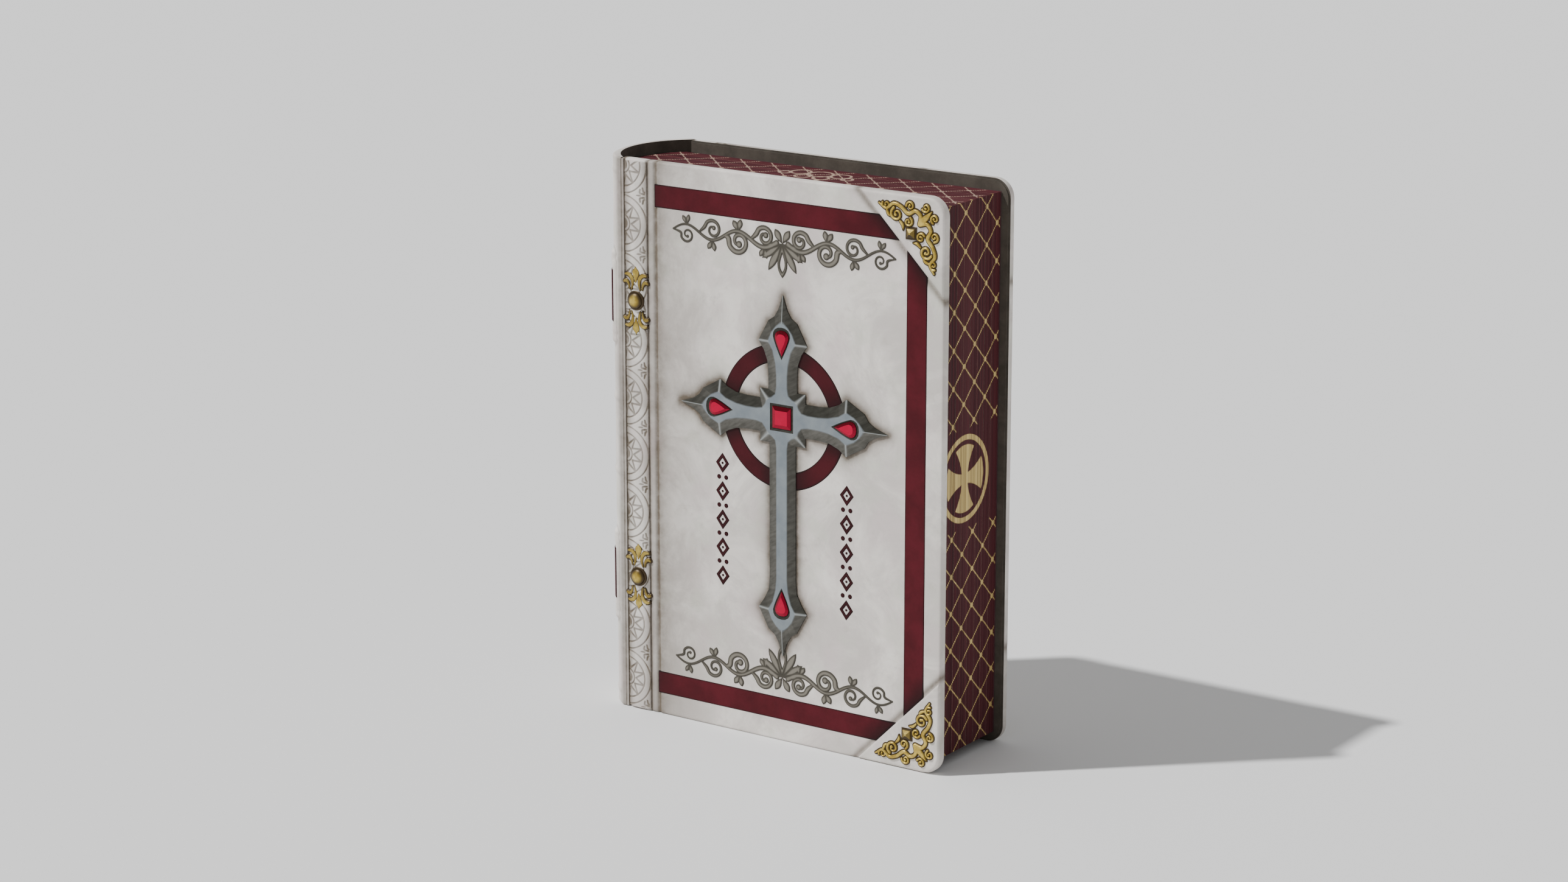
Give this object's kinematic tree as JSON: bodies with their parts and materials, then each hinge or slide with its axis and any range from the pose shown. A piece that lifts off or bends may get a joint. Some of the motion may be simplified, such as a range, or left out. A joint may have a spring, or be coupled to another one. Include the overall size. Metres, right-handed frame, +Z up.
{
  "type": "prayer book",
  "caption": "Upright hardback prayer book with hinged boards, rounded spine, inlaid frame, jewelled metal cross, pierced corner guards and turning page sections.",
  "frame": {"origin": "centre of the bounding box in plan, at the tail edges the book stands on", "axes": "+Z up to the head of the book, -Y out of the front cover, +X from the spine to the fore-edge"},
  "size_m": [0.1754, 0.0594, 0.24],
  "materials": {
    "parchment": "pale mottled vellum-like leather, matte",
    "red_leather": "deep crimson leather, matte",
    "dark_lining": "dark brown lining paper, matte",
    "gilt_pages": "burgundy stained page edges with a gilt lattice",
    "flyleaf_paper": "cream laid paper",
    "spine_cloth": "glued open-weave cloth",
    "steel": "brushed blue-grey steel with darker facets",
    "gold": "aged gilt brass",
    "ruby": "polished raspberry red glass stone, opaque"
  },
  "bodies": {
    "text_block": {"spine_shell": "parchment", "spine_label_upper": "red_leather", "spine_label_lower": "red_leather", "spine_lining": "spine_cloth", "text_block_core": "gilt_pages"},
    "front_cover": {"front_board": "parchment", "front_pastedown": "dark_lining", "front_band_top": "red_leather", "front_band_fore": "red_leather", "front_band_bottom": "red_leather", "front_ring": "red_leather", "front_cross": "steel", "front_gem_centre": "ruby", "front_gem_top": "ruby", "front_gem_left": "ruby", "front_gem_right": "ruby", "front_gem_bottom": "ruby", "front_corner_plate_top": "parchment", "front_corner_plate_bottom": "parchment", "front_corner_filigree_top": "gold", "front_corner_filigree_bottom": "gold", "front_corner_stud_top": "gold", "front_corner_stud_bottom": "gold", "front_boss_upper": "gold", "front_boss_lower": "gold", "front_spray_upper_above": "gold", "front_spray_upper_below": "gold", "front_spray_lower_above": "gold", "front_spray_lower_below": "gold"},
    "back_cover": {"back_board": "parchment", "back_pastedown": "dark_lining", "back_band_top": "red_leather", "back_band_fore": "red_leather", "back_band_bottom": "red_leather", "back_corner_plate_top": "parchment", "back_corner_plate_bottom": "parchment", "back_corner_filigree_top": "gold", "back_corner_filigree_bottom": "gold", "back_corner_stud_top": "gold", "back_corner_stud_bottom": "gold"},
    "front_flyleaf": {"front_flyleaf": "flyleaf_paper"},
    "section_1": {"section_1": "gilt_pages"},
    "section_2": {"section_2": "gilt_pages"},
    "section_3": {"section_3": "gilt_pages"},
    "section_4": {"section_4": "gilt_pages"},
    "section_5": {"section_5": "gilt_pages"},
    "section_6": {"section_6": "gilt_pages"},
    "section_7": {"section_7": "gilt_pages"},
    "section_8": {"section_8": "gilt_pages"},
    "back_flyleaf": {"back_flyleaf": "flyleaf_paper"}
  },
  "joints": [
    {"name": "front_cover_hinge", "type": "hinge", "parent": "text_block", "child": "front_cover", "pos_m": [-0.07195, -0.02645, 0.12], "axis": [0, 0, -1], "range_deg": [0, 130]},
    {"name": "back_cover_hinge", "type": "hinge", "parent": "text_block", "child": "back_cover", "pos_m": [-0.07195, 0.02645, 0.12], "axis": [0, 0, 1], "range_deg": [0, 130]},
    {"name": "front_flyleaf_hinge", "type": "hinge", "parent": "text_block", "child": "front_flyleaf", "pos_m": [-0.06731, -0.02185, 0.12], "axis": [0, 0, -1], "range_deg": [0, 91]},
    {"name": "section_1_hinge", "type": "hinge", "parent": "text_block", "child": "section_1", "pos_m": [-0.06731, -0.01881, 0.12], "axis": [0, 0, -1], "range_deg": [0, 24.7]},
    {"name": "section_2_hinge", "type": "hinge", "parent": "text_block", "child": "section_2", "pos_m": [-0.06731, -0.01344, 0.12], "axis": [0, 0, -1], "range_deg": [0, 14.95]},
    {"name": "section_3_hinge", "type": "hinge", "parent": "text_block", "child": "section_3", "pos_m": [-0.06731, -0.00806, 0.12], "axis": [0, 0, -1], "range_deg": [0, 7.8]},
    {"name": "section_4_hinge", "type": "hinge", "parent": "text_block", "child": "section_4", "pos_m": [-0.06731, -0.00269, 0.12], "axis": [0, 0, -1], "range_deg": [0, 2.86]},
    {"name": "back_flyleaf_hinge", "type": "hinge", "parent": "text_block", "child": "back_flyleaf", "pos_m": [-0.06731, 0.02185, 0.12], "axis": [0, 0, 1], "range_deg": [0, 91]},
    {"name": "section_8_hinge", "type": "hinge", "parent": "text_block", "child": "section_8", "pos_m": [-0.06731, 0.01881, 0.12], "axis": [0, 0, 1], "range_deg": [0, 24.7]},
    {"name": "section_7_hinge", "type": "hinge", "parent": "text_block", "child": "section_7", "pos_m": [-0.06731, 0.01344, 0.12], "axis": [0, 0, 1], "range_deg": [0, 14.95]},
    {"name": "section_6_hinge", "type": "hinge", "parent": "text_block", "child": "section_6", "pos_m": [-0.06731, 0.00806, 0.12], "axis": [0, 0, 1], "range_deg": [0, 7.8]},
    {"name": "section_5_hinge", "type": "hinge", "parent": "text_block", "child": "section_5", "pos_m": [-0.06731, 0.00269, 0.12], "axis": [0, 0, 1], "range_deg": [0, 2.86]}
  ],
  "couplings": [
    {"joint": "front_flyleaf_hinge", "follows": "front_cover_hinge", "ratio": 0.7},
    {"joint": "section_1_hinge", "follows": "front_cover_hinge", "ratio": 0.19},
    {"joint": "section_2_hinge", "follows": "front_cover_hinge", "ratio": 0.115},
    {"joint": "section_3_hinge", "follows": "front_cover_hinge", "ratio": 0.06},
    {"joint": "section_4_hinge", "follows": "front_cover_hinge", "ratio": 0.022},
    {"joint": "back_flyleaf_hinge", "follows": "back_cover_hinge", "ratio": 0.7},
    {"joint": "section_8_hinge", "follows": "back_cover_hinge", "ratio": 0.19},
    {"joint": "section_7_hinge", "follows": "back_cover_hinge", "ratio": 0.115},
    {"joint": "section_6_hinge", "follows": "back_cover_hinge", "ratio": 0.06},
    {"joint": "section_5_hinge", "follows": "back_cover_hinge", "ratio": 0.022}
  ]
}
